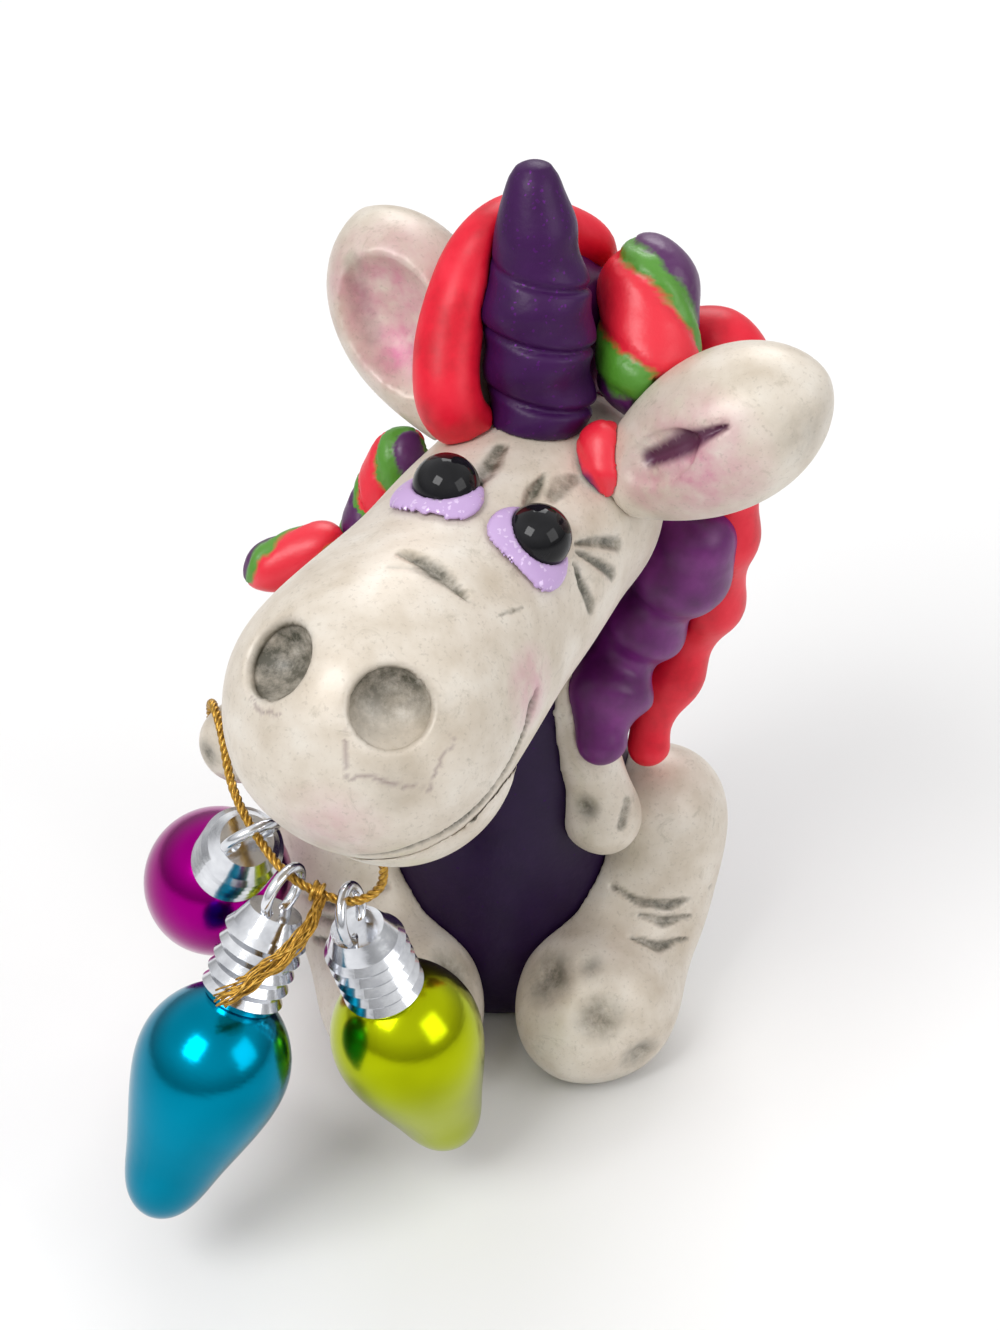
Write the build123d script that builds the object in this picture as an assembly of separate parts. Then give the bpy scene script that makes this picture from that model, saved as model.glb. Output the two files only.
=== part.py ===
from build123d import *
from math import cos, pi, radians, tan
import os

# Seated clay unicorn figurine holding a cord of three small light bulbs.
# Lengths in mm, Z up, the figure faces -Y and its own left is +X.

# Whole figure
figure_height = 86.0
press_nudge = 0.02
press_slack_share = 0.0001
press_ways = [(0, 0, 0), (1, 0, 0), (0, 1, 0), (0, 0, 1),
              (-1, 0, 0), (0, -1, 0), (0, 0, -1), (1, 1, 1)]

# Torso
torso_axis_y = 12.0
torso_height = 55.0
belly_radius = 12.5
torso_level_shares = [0.0, 0.07, 0.22, 0.38, 0.58, 0.78, 1.0]
torso_girth_shares = [0.86, 0.97, 1.0, 0.95, 0.76, 0.6, 0.52]
torso_lean_shares = [0.0, 0.0, 0.0, -0.01, -0.03, -0.07, -0.12]

# Head, an upturned pear with its narrow end at the back
head_x = 3.6
head_y = -0.3
head_z = 58.8
head_yaw = -28.3
head_pitch = 4.0
head_roll = 5.5
cranium_radius = 9.4
bridge_radius = 9.9
muzzle_radius = 11.0
muzzle_reach = 27.2
bridge_share = 0.42
round_share = 0.7071
head_stations = 19

# Mouth and nostrils
jaw_radius = 9.2
jaw_drop = 3.2
jaw_side = 1.6
jaw_set_back = 0.6
nostril_radius = 3.2
nostril_depth = 1.7
nostril_spread = 4.55
nostril_forward = 5.7
nostril_rise = 7.25

# Eyes and eyelids
eye_radius = 2.55
eye_forward = 12.95
eye_out = 10.1
eye_angle = 23.0
eye_turn = 10.2
lid_radius = 3.5
lid_half_thickness = 1.0
lid_forward = 1.5
lid_drop = 0.6

# Horn
horn_length = 24.0
horn_radius = 4.3
horn_sink = 4.0
horn_forward = 1.6
horn_side = 0.1
horn_lean_back = 13.0
horn_lean_side = -12.0
horn_turns = 5
horn_stations_per_turn = 8
horn_groove_share = 0.09
horn_level_shares = [0.0, 0.25, 0.5, 0.75, 1.0]
horn_girth_shares = [0.84, 0.95, 1.0, 0.74, 0.42]

# Armature wires
neck_wire_radius = 0.8
neck_wire_length = 24.0
neck_wire_bottom_share = 0.66
horn_pin_radius = 0.6
horn_pin_length = 12.0

# Ears
ear_length = 20.5
ear_radius = 6.1
ear_root_side = 5.6
ear_root_forward = 1.6
ear_root_rise = 4.5
left_cup_radius = 1.9
left_cup_length = 8.5
left_cup_start = 3.0
left_cup_offset = 5.0
right_cup_radius = 4.7
right_cup_length = 15.0
right_cup_start = 2.6
right_cup_offset = 7.0
ear_direction_shares = (0.70, 0.30, 0.65)
ear_facing_shares = (0.0, -0.80, 0.45)
ear_level_shares = [0.0, 0.22, 0.52, 0.78, 0.94, 1.0]
ear_girth_shares = [0.3, 0.72, 1.0, 0.86, 0.44, 0.0]

# Hair, each lock a roll of clay with its route as shares of the figure's height
lock_taper_levels_shares = [0.0, 0.2, 0.75, 1.0]
lock_taper_girth_shares = [0.75, 1.0, 0.95, 0.6]
crown_radius = 5.2
crown_route_shares = [(0.036, 0.05, 0.72), (0.04, 0.075, 0.79), (0.042, 0.1, 0.85), (0.05, 0.115, 0.89)]
curl_radius = 2.6
curl_route_shares = [(-0.005, -0.017, 0.794), (-0.028, -0.035, 0.792), (-0.042, -0.041, 0.811),
                     (-0.047, -0.029, 0.84), (-0.044, -0.012, 0.867), (-0.037, 0.008, 0.895),
                     (-0.022, 0.03, 0.918), (0.002, 0.054, 0.932), (0.027, 0.08, 0.924),
                     (0.054, 0.103, 0.907), (0.08, 0.112, 0.89), (0.097, 0.11, 0.866)]
twist_radius = 4.2
twist_route_shares = [(0.135, -0.023, 0.779), (0.134, 0.0, 0.806), (0.133, 0.035, 0.842),
                      (0.133, 0.07, 0.879), (0.131, 0.099, 0.903)]
drop_radius = 2.2
drop_route_shares = [(0.093, -0.041, 0.793), (0.092, -0.058, 0.783), (0.092, -0.076, 0.765),
                     (0.091, -0.093, 0.748)]
plum_radius = 3.5
plum_route_shares = [(0.188, 0.047, 0.629), (0.174, 0.056, 0.556), (0.145, 0.064, 0.495),
                     (0.121, 0.057, 0.45), (0.105, 0.03, 0.413), (0.104, -0.002, 0.365)]
red_radius = 2.9
red_route_shares = [(0.12, 0.1, 0.775), (0.165, 0.1, 0.797), (0.207, 0.095, 0.785),
                    (0.224, 0.085, 0.715), (0.218, 0.075, 0.633), (0.212, 0.09, 0.53),
                    (0.198, 0.103, 0.466), (0.176, 0.102, 0.41), (0.157, 0.09, 0.362),
                    (0.153, 0.07, 0.305)]
right_twist_radius = 2.4
right_twist_route_shares = [(-0.075, 0.04, 0.73), (-0.1, 0.036, 0.69), (-0.117, 0.032, 0.65),
                            (-0.135, 0.02, 0.615), (-0.15, 0.012, 0.605)]
right_end_radius = 2.3
right_end_route_shares = [(-0.14, 0.008, 0.625), (-0.175, 0.006, 0.62), (-0.21, 0.002, 0.607),
                          (-0.238, 0.0, 0.588)]
back_red_radius = 3.3
back_red_route_shares = [(0.02, 0.1, 0.77), (0.0, 0.128, 0.69), (-0.015, 0.145, 0.6),
                         (-0.01, 0.19, 0.5), (0.0, 0.235, 0.41), (0.005, 0.262, 0.34)]
back_plum_radius = 3.3
back_plum_route_shares = [(0.085, 0.1, 0.77), (0.11, 0.118, 0.68), (0.105, 0.14, 0.59),
                          (0.085, 0.19, 0.48), (0.075, 0.232, 0.4)]
tail_radius = 3.0
tail_route_shares = [(0.0, 0.27, 0.1), (0.04, 0.31, 0.075), (0.09, 0.32, 0.052), (0.14, 0.3, 0.042)]
scallop_share = 0.16
plum_scallops = 4
red_scallops = 6
lock_stations = 13
scallop_stations = 29
end_least_share = 0.08

# Legs and arms, routes as shares of the figure's height
leg_radius = 6.5
leg_route_shares = [(0.178, 0.105, 0.292), (0.172, 0.1, 0.25), (0.162, 0.085, 0.185),
                    (0.138, 0.042, 0.115), (0.108, -0.02, 0.078), (0.086, -0.075, 0.066),
                    (0.078, -0.122, 0.062)]
leg_level_shares = [0.0, 0.3, 0.55, 0.78, 1.0]
leg_girth_shares = [0.85, 0.95, 0.98, 1.12, 0.92]
arm_radius = 3.5
arm_level_shares = [0.0, 0.2, 0.6, 0.85, 1.0]
arm_girth_shares = [0.68, 0.7, 0.82, 1.0, 0.95]
left_arm_route_shares = [(0.06, 0.07, 0.46), (0.075, 0.045, 0.39), (0.097, 0.03, 0.31),
                         (0.107, 0.018, 0.235)]
right_arm_route_shares = [(-0.06, 0.07, 0.45), (-0.15, 0.03, 0.415), (-0.225, -0.03, 0.43),
                          (-0.268, -0.09, 0.452)]
limb_stations = 13

# Gold cord, its knot and its loose end
cord_diameter = 0.8
cord_route = [(-9.3, -22.5, 45.6), (-8.8, -21.8, 38.6), (-9.6, -21.6, 36.2), (-12.0, -21.6, 35.0),
              (-16.6, -20.2, 36.4), (-19.6, -15.8, 37.5), (-21.6, -12.0, 39.0), (-22.4, -8.4, 42.0),
              (-23.5, -4.5, 42.0), (-24.0, -2.3, 39.0), (-24.0, -2.0, 35.6)]
cord_bend_share = 0.45
knot_thickness = 0.8
knot_clearance = 0.05
knot_path_share = 0.343
fray_radius = 0.9
fray_level_shares = [0.0, 1.0]
fray_girth_shares = [0.55, 1.0]
fray_route = [(-14.0, -21.5, 35.9), (-14.2, -23.6, 35.8), (-15.8, -25.9, 34.6), (-18.9, -27.4, 32.5),
              (-22.3, -28.4, 30.8)]

# Light bulbs
loop_radius = 2.2
loop_wire_radius = 0.45
loop_clearance = 0.22
loop_sink = 0.55
cap_length = 8.2
cap_radius = 3.4
cap_ridges = 5
cap_ridge_depth = 0.45
cap_crown_length = 1.6
neck_radius = 2.6
cap_crown_radius = 2.2
neck_length = 4.6
bulb_radius = 6.2
bulb_length = 21.0
bulb_wall = 0.6
bulb_level_shares = [0.09, 0.24, 0.46, 0.74, 0.94]
bulb_girth_shares = [0.78, 1.0, 0.93, 0.64, 0.36]
bulb_names = ["magenta", "cyan", "lime"]
bulb_cord_points = [5, 4, 3]
bulb_aims = [(-0.25, 0.55, -0.80), (-0.376, -0.304, -0.875), (0.25, 0.123, -0.96)]

pieces = {}

# The finished figure is set down with the middle of the torso's flat base at the origin
seat = Pos(0, -torso_axis_y, 0)


def boxes_meet(first, second):
    a = first.bounding_box()
    b = second.bounding_box()
    apart = [a.max.X < b.min.X, b.max.X < a.min.X, a.max.Y < b.min.Y,
             b.max.Y < a.min.Y, a.max.Z < b.min.Z, b.max.Z < a.min.Z]
    return not any(apart)


def largest(shape):
    return max(shape.solids(), key=lambda solid: solid.volume)


# The part of a shape outside another one; a cut that comes out wrong is tried again a hair to one side
def cut_by(shape, other):
    for way in press_ways:
        moved = Pos(*[press_nudge * w for w in way]) * shape
        left = [solid for solid in (moved - other).solids() if solid.is_valid]
        if left:
            kept = max(left, key=lambda solid: solid.volume)
            if 0 < kept.volume <= shape.volume * (1 + press_slack_share):
                return kept
    raise ValueError("a piece could not be pressed against its neighbour")


# Each new piece is pressed against the ones before it, so it takes their shape where they meet
def press(name, shape):
    shape = largest(shape)
    for other in pieces.values():
        if boxes_meet(shape, other):
            shape = cut_by(shape, other)
    pieces[name] = shape
    print(name, round(shape.volume, 2), flush=True)


# Smooth reading of a table of shares
def read_table(levels, values, level):
    for i in range(len(levels) - 1):
        if level <= levels[i + 1]:
            part = (level - levels[i]) / (levels[i + 1] - levels[i])
            part = (1 - cos(pi * part)) / 2
            return values[i] + (values[i + 1] - values[i]) * part
    return values[-1]


# A tapering roll of clay along a smooth route, rounded off at both ends
def roll(route, radius, levels, girths, stations, ripples=0):
    path = Spline(*[Vector(*p) for p in route])
    side = None
    rings = []
    for i in range(stations):
        level = (1 - cos(pi * i / (stations - 1))) / 2
        way = path.tangent_at(level)
        if side is None:
            side = Vector(0, 0, 1).cross(way)
            if side.length < round_share:
                side = Vector(0, 1, 0).cross(way)
        side = (side - way * side.dot(way)).normalized()
        girth = read_table(levels, girths, level)
        if ripples:
            girth = girth * (1 + scallop_share * cos(2 * pi * ripples * level))
        end_gap = min(level, 1 - level) * path.length / (radius * girth)
        if end_gap < 1:
            girth = girth * max(end_least_share, (1 - (1 - end_gap) ** 2) ** 0.5)
        place = Plane(origin=path.position_at(level), x_dir=side, z_dir=way)
        rings.append(place * Circle(radius * girth))
    return loft(rings)


def lock(shares, radius, ripples=0):
    route = [tuple(figure_height * s for s in p) for p in shares]
    count = scallop_stations if ripples else lock_stations
    return roll(route, radius, lock_taper_levels_shares, lock_taper_girth_shares, count, ripples)


def limb(shares, radius, levels, girths):
    route = [tuple(figure_height * s for s in p) for p in shares]
    return roll(route, radius, levels, girths, limb_stations)


def above_floor(shape):
    return split(shape, bisect_by=Plane.XY, keep=Keep.TOP)


# A drop turned about Z, from its root at zero to its tip
def turned(levels, girths, length, radius):
    points = [(radius * g, length * v) for v, g in zip(levels, girths)]
    curve = Spline(*points)
    closing = [Line(points[-1], (0, length))] if girths[-1] > 0 else []
    edges = [curve] + closing + [Line((0, length), (0, 0)), Line((0, 0), points[0])]
    return revolve(Plane.XZ * make_face(edges), Axis.Z)


head_place = Pos(head_x, head_y, head_z) * Rot(0, 0, head_yaw) * Rot(head_pitch, 0, 0) * Rot(0, head_roll, 0)

# Cord, made first so that the mouth and the paw close around it
cord_radius = cord_diameter / 2
cord_points = [Vector(*p) for p in cord_route]
cord_bends = []
for i in range(1, len(cord_points) - 1):
    run_in = cord_points[i] - cord_points[i - 1]
    run_out = cord_points[i + 1] - cord_points[i]
    half_turn = radians(run_in.get_angle(run_out)) / 2
    cord_bends.append(cord_bend_share * min(run_in.length, run_out.length) / tan(half_turn))
cord_path = FilletPolyline(*cord_points, radius=cord_bends)
cord_start = Plane(origin=cord_path @ 0, z_dir=cord_path % 0)
cord = sweep(cord_start * Circle(cord_radius), path=cord_path)
print("cord radii", [round(b, 2) for b in cord_bends], "length", round(cord_path.length, 1))
cord_section = pi * cord_radius**2
print("cord volume against section by length", round(cord.volume / (cord_section * cord_path.length), 4))
press("gold_cord", cord)
knot_plane = Plane(origin=cord_path @ knot_path_share, z_dir=cord_path % knot_path_share)
knot_ring_radius = cord_radius + knot_clearance + knot_thickness / 2
press("cord_knot", knot_plane * Torus(knot_ring_radius, knot_thickness / 2))
press("frayed_cord_end", roll(fray_route, fray_radius, fray_level_shares, fray_girth_shares, lock_stations))

# Armature wires and eye beads, then the head around them
neck_wire_bottom = torso_height * neck_wire_bottom_share
neck_wire_foot = Vector(0, torso_axis_y + torso_height * torso_lean_shares[-2], neck_wire_bottom)
neck_wire_aim = Vector(head_x, head_y, head_z) - neck_wire_foot
neck_wire_place = Plane(origin=neck_wire_foot, z_dir=neck_wire_aim)
wire_align = (Align.CENTER, Align.CENTER, Align.MIN)
press("neck_wire", neck_wire_place * Cylinder(neck_wire_radius, neck_wire_length, align=wire_align))

horn_lean = Rot(-horn_lean_back, 0, 0) * Rot(0, horn_lean_side, 0)
horn_place = head_place * Pos(horn_side, -horn_forward, cranium_radius - horn_sink) * horn_lean
press("horn_pin", horn_place * Cylinder(horn_pin_radius, horn_pin_length))

for side_name, side in (("left", 1), ("right", -1)):
    eye_place = head_place * Rot(0, eye_turn + side * eye_angle, 0) * Pos(0, -eye_forward, eye_out)
    press(side_name + "_eye", eye_place * Sphere(eye_radius))

head_length = cranium_radius + muzzle_reach + muzzle_radius
bridge_level = (cranium_radius + muzzle_reach * bridge_share) / head_length
head_levels = [0, cranium_radius / head_length, bridge_level, 1 - muzzle_radius / head_length, 1]
bridge_girth = bridge_radius / cranium_radius
muzzle_girth = muzzle_radius / cranium_radius
head_girths = [1, 1, bridge_girth, muzzle_girth, muzzle_girth]
head_route = [(0, cranium_radius, 0), (0, -muzzle_reach - muzzle_radius, 0)]
head = roll(head_route, cranium_radius, head_levels, head_girths, head_stations)
for side in (1, -1):
    pit = Vector(side * nostril_spread, -nostril_forward, nostril_rise).normalized()
    pit = pit * (muzzle_radius + nostril_radius - nostril_depth)
    head = head - Pos(pit.X, pit.Y - muzzle_reach, pit.Z) * Sphere(nostril_radius)
press("head", head_place * head)
jaw_place = head_place * Pos(jaw_side, -muzzle_reach + jaw_set_back, -jaw_drop)
press("lower_jaw", jaw_place * Sphere(jaw_radius))

# Lower eyelids, flat round pads under the eyes
lid_half = split(Ellipse(lid_radius, lid_half_thickness), bisect_by=Plane.YZ, keep=Keep.TOP)
lid = revolve(Plane.XZ * lid_half, Axis.Z)
for side_name, side in (("left", 1), ("right", -1)):
    lid_turn = head_place * Rot(0, eye_turn + side * eye_angle, 0)
    lid_place = lid_turn * Pos(0, -eye_forward - lid_forward, eye_out - lid_drop)
    press(side_name + "_eyelid", lid_place * lid)

# Horn, a tapering roll with a groove winding round it
horn_rings = []
for i in range(horn_turns * horn_stations_per_turn + 1):
    level = i / (horn_turns * horn_stations_per_turn)
    ring_radius = horn_radius * read_table(horn_level_shares, horn_girth_shares, level)
    tip_gap = (1 - level) * horn_length / ring_radius
    if tip_gap < 1:
        ring_radius = ring_radius * max(end_least_share, (1 - (1 - tip_gap) ** 2) ** 0.5)
    winding = Rot(0, 0, 360 * horn_turns * level)
    winding_offset = ring_radius * horn_groove_share * (1 - level)
    ring_place = Pos(0, 0, horn_length * level) * winding * Pos(winding_offset, 0, 0)
    horn_rings.append(Plane(ring_place.position) * Circle(ring_radius))
press("horn", horn_place * loft(horn_rings))

# Ears
ear = turned(ear_level_shares, ear_girth_shares, ear_length, ear_radius)
left_cup = turned(ear_level_shares, ear_girth_shares, left_cup_length, left_cup_radius)
left_cup = Pos(left_cup_offset, 0, left_cup_start) * left_cup
right_cup = turned(ear_level_shares, ear_girth_shares, right_cup_length, right_cup_radius)
right_cup = Pos(right_cup_offset, 0, right_cup_start) * right_cup
for side_name, side, cup in (("left", 1, left_cup), ("right", -1, right_cup)):
    out_share, back_share, rise_share = ear_direction_shares
    aim = Vector(side * out_share, back_share, rise_share).normalized()
    face_way = Vector(*ear_facing_shares)
    face_way = face_way - aim * face_way.dot(aim)
    root = Vector(side * ear_root_side, -ear_root_forward, ear_root_rise)
    ear_place = Plane(origin=root, x_dir=face_way, z_dir=aim).location
    press(side_name + "_ear", head_place * ear_place * (ear - cup))

# Torso and legs
torso_rings = []
for level, girth, lean in zip(torso_level_shares, torso_girth_shares, torso_lean_shares):
    ring_place = Plane(origin=(0, torso_axis_y + torso_height * lean, torso_height * level))
    torso_rings.append(ring_place * Circle(belly_radius * girth))
press("torso", loft(torso_rings))

leg = above_floor(limb(leg_route_shares, leg_radius, leg_level_shares, leg_girth_shares))
press("left_leg", leg)
press("right_leg", mirror(leg, about=Plane.YZ))

# Hair
press("mane_crown", lock(crown_route_shares, crown_radius))
press("forelock_twist", lock(twist_route_shares, twist_radius))
press("forelock_curl", lock(curl_route_shares, curl_radius))
press("forelock_drop", lock(drop_route_shares, drop_radius))
press("left_mane_plum", lock(plum_route_shares, plum_radius, plum_scallops))
press("left_mane_red", lock(red_route_shares, red_radius, red_scallops))
press("right_mane_twist", lock(right_twist_route_shares, right_twist_radius))
press("right_mane_end", lock(right_end_route_shares, right_end_radius))
press("back_mane_red", lock(back_red_route_shares, back_red_radius))
press("back_mane_plum", lock(back_plum_route_shares, back_plum_radius))
press("tail", above_floor(lock(tail_route_shares, tail_radius)))

# Arms, under the hair that falls over them
press("left_arm", limb(left_arm_route_shares, arm_radius, arm_level_shares, arm_girth_shares))
press("right_arm", limb(right_arm_route_shares, arm_radius, arm_level_shares, arm_girth_shares))

# One light bulb, hanging along -Z from the cord at its origin, its loop in the XZ plane
cap_top = -(2 * loop_radius - loop_wire_radius - cord_radius - loop_clearance - loop_sink)
cap_bottom = cap_top - cap_length
loop_centre = -(loop_radius - loop_wire_radius - cord_radius - loop_clearance)

cap_outline = [(0, cap_top), (cap_crown_radius, cap_top)]
ridge_pitch = (cap_length - cap_crown_length) / cap_ridges
for i in range(cap_ridges):
    ridge_top = cap_top - cap_crown_length - ridge_pitch * i
    cap_outline.append((cap_radius - cap_ridge_depth, ridge_top))
    cap_outline.append((cap_radius, ridge_top - ridge_pitch / 2))
cap_outline += [(cap_radius - cap_ridge_depth, cap_bottom), (neck_radius, cap_bottom)]
cap_outline += [(neck_radius, cap_bottom + neck_length), (0, cap_bottom + neck_length), (0, cap_top)]
screw_cap = revolve(Plane.XZ * make_face(Polyline(*cap_outline)), Axis.Z)

outer_points = [(neck_radius, cap_bottom)]
for level, girth in zip(bulb_level_shares, bulb_girth_shares):
    outer_points.append((bulb_radius * girth, cap_bottom - bulb_length * level))
outer_points.append((0, cap_bottom - bulb_length))
inner_points = [(r - bulb_wall, z) for r, z in outer_points[:-1]]
inner_points.append((0, cap_bottom - bulb_length + bulb_wall))
neck_top = cap_bottom + neck_length
outer_curve = Spline(*outer_points)
inner_curve = Spline(*inner_points)
shell_edges = [Line((neck_radius - bulb_wall, neck_top), (neck_radius, neck_top)),
               Line((neck_radius, neck_top), outer_points[0]), outer_curve,
               Line(outer_points[-1], inner_points[-1]), inner_curve,
               Line(inner_points[0], (neck_radius - bulb_wall, neck_top))]
bulb_shell = revolve(Plane.XZ * make_face(shell_edges), Axis.Z)
hanger_loop = Pos(0, 0, loop_centre) * Rot(90, 0, 0) * Torus(loop_radius, loop_wire_radius) - screw_cap

for name, point, aim in zip(bulb_names, bulb_cord_points, bulb_aims):
    hang = Vector(*aim).normalized()
    way = (cord_points[point + 1] - cord_points[point - 1]).normalized()
    axle = (way - hang * way.dot(hang)).normalized()
    bulb_plane = Plane(origin=cord_points[point], x_dir=axle.cross(hang), z_dir=-hang)
    pivot = cord_points[point] + seat.position
    print(name, "pivot", [round(v, 4) for v in tuple(pivot)], "axle", [round(v, 5) for v in tuple(axle)])
    pieces[name + "_bulb"] = bulb_plane * bulb_shell
    pieces[name + "_screw_cap"] = bulb_plane * screw_cap
    pieces[name + "_hanger_loop"] = bulb_plane * largest(hanger_loop)

os.makedirs("parts", exist_ok=True)
for name, piece in pieces.items():
    solid = seat * piece
    box = solid.bounding_box()
    corners = [round(v, 1) for v in tuple(box.min) + tuple(box.max)]
    export_step(solid, os.path.join("parts", name + ".step"))
    print(name, round(solid.volume, 2), "valid", solid.is_valid, corners)
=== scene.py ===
"""Dresses the packed clay unicorn figurine with sculpted clay, twisted cord, metallised bulbs and light."""

import bmesh
import bpy
import math
import numpy as np
from mathutils import Matrix, Vector
from mathutils.bvhtree import BVHTree


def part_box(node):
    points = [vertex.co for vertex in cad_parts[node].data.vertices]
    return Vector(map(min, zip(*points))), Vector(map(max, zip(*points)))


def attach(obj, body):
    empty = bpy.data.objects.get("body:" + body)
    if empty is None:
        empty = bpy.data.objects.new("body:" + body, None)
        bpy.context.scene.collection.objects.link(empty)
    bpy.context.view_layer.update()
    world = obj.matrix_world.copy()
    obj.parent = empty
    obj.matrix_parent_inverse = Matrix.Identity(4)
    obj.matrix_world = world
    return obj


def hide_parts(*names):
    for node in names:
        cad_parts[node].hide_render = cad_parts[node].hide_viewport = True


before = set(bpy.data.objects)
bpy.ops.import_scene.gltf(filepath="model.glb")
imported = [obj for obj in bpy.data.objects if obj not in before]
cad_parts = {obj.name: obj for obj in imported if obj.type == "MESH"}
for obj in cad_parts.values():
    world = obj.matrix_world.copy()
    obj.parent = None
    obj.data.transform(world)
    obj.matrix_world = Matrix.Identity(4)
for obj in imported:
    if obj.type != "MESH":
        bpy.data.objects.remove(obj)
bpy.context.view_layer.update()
MM = 0.001
ROOT = "figurine"

# Camera, at the photograph's angle
FOCAL_PX = 2900.0
ELEVATION = math.radians(38.0)
DISTANCE = 0.240
TARGET = Vector((0.0, -0.012, 0.042))
PHOTO_WIDTH, PHOTO_HEIGHT = 1000.0, 1330.0
SENSOR = 36.0
LOOK = Vector((0.0, math.cos(ELEVATION), -math.sin(ELEVATION)))
UP = Vector((0.0, math.sin(ELEVATION), math.cos(ELEVATION)))
EYE = TARGET - LOOK * DISTANCE

cam_data = bpy.data.cameras.new("photo_camera")
cam_data.sensor_width = SENSOR
cam_data.lens = SENSOR * FOCAL_PX / PHOTO_HEIGHT
cam_data.clip_start = 0.01
cam = bpy.data.objects.new("photo_camera", cam_data)
cam.location = EYE
cam.rotation_euler = (math.radians(90.0) - ELEVATION, 0.0, 0.0)
bpy.context.scene.collection.objects.link(cam)
bpy.context.scene.camera = cam


def pixel_ray(px, py):
    """The way from the camera through a pixel of the photograph."""
    across = (px - PHOTO_WIDTH / 2) / FOCAL_PX
    down = (py - PHOTO_HEIGHT / 2) / FOCAL_PX
    return (LOOK + Vector((1, 0, 0)) * across - UP * down).normalized()


# Material helpers
def lin(r, g, b):
    """A colour on the usual scale to 255 as the linear colour that materials take."""
    out = []
    for c in (r, g, b):
        c = c / 255.0
        out.append(c / 12.92 if c <= 0.04045 else ((c + 0.055) / 1.055) ** 2.4)
    return (*out, 1.0)


class Mat:
    """A small builder for node materials."""

    def __init__(self, name):
        self.mat = bpy.data.materials.new(name)
        self.mat.use_nodes = True
        self.tree = self.mat.node_tree
        self.bsdf = self.tree.nodes["Principled BSDF"]
        self.coord = self.tree.nodes.new("ShaderNodeTexCoord")

    def set(self, **values):
        for key, value in values.items():
            self.bsdf.inputs[key.replace("_", " ")].default_value = value
        return self

    def link(self, a, b):
        self.tree.links.new(a, b)

    def noise(self, scale, detail=4.0, rough=0.55, distortion=0.0):
        n = self.tree.nodes.new("ShaderNodeTexNoise")
        n.inputs["Scale"].default_value = scale
        n.inputs["Detail"].default_value = detail
        n.inputs["Roughness"].default_value = rough
        n.inputs["Distortion"].default_value = distortion
        self.link(self.coord.outputs["Object"], n.inputs["Vector"])
        return n.outputs["Fac"]

    def voronoi(self, scale):
        n = self.tree.nodes.new("ShaderNodeTexVoronoi")
        n.inputs["Scale"].default_value = scale
        self.link(self.coord.outputs["Object"], n.inputs["Vector"])
        return n

    def attribute(self, name):
        n = self.tree.nodes.new("ShaderNodeAttribute")
        n.attribute_name = name
        return n.outputs["Fac"]

    def ramp(self, fac, stops, mode="LINEAR"):
        n = self.tree.nodes.new("ShaderNodeValToRGB")
        n.color_ramp.interpolation = mode
        while len(n.color_ramp.elements) < len(stops):
            n.color_ramp.elements.new(0.5)
        for e, (pos, col) in zip(n.color_ramp.elements, stops):
            e.position = pos
            e.color = col if len(col) == 4 else (*col, 1.0)
        self.link(fac, n.inputs["Fac"])
        return n.outputs["Color"]

    def mask(self, fac, low, high):
        return self.ramp(fac, [(low, (0, 0, 0, 1)), (high, (1, 1, 1, 1))])

    def math(self, op, a, b, clamp=True):
        n = self.tree.nodes.new("ShaderNodeMath")
        n.operation = op
        n.use_clamp = clamp
        for socket, value in zip(n.inputs, (a, b)):
            if isinstance(value, (int, float)):
                socket.default_value = value
            else:
                self.link(value, socket)
        return n.outputs[0]

    def mix(self, fac, a, b):
        n = self.tree.nodes.new("ShaderNodeMix")
        n.data_type = "RGBA"
        for place, value in ((0, fac), (6, a), (7, b)):
            if isinstance(value, bpy.types.NodeSocket):
                self.link(value, n.inputs[place])
            else:
                n.inputs[place].default_value = value
        return n.outputs[2]

    def color(self, socket):
        self.link(socket, self.bsdf.inputs["Base Color"])
        return self

    def bump(self, height, strength=0.3, distance=0.0002):
        n = self.tree.nodes.new("ShaderNodeBump")
        n.inputs["Strength"].default_value = strength
        n.inputs["Distance"].default_value = distance
        self.link(height, n.inputs["Height"])
        self.link(n.outputs["Normal"], self.bsdf.inputs["Normal"])
        return self


# Olive colour of the wash, also used as painted shade in the nostrils
WASH_AND_SHADE = lin(62, 60, 44)
BLUSH = lin(196, 100, 140)
FOLD = lin(86, 34, 66)
STAIN = lin(140, 130, 108)
SPECKLE = lin(120, 108, 92)
PEARL_DARK, PEARL_MID, PEARL_LIGHT = lin(198, 185, 167), lin(216, 206, 192), lin(226, 219, 208)
GOLD_DARK, GOLD_MID, GOLD_LIGHT = lin(128, 92, 28), lin(196, 152, 62), lin(232, 200, 120)


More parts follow.
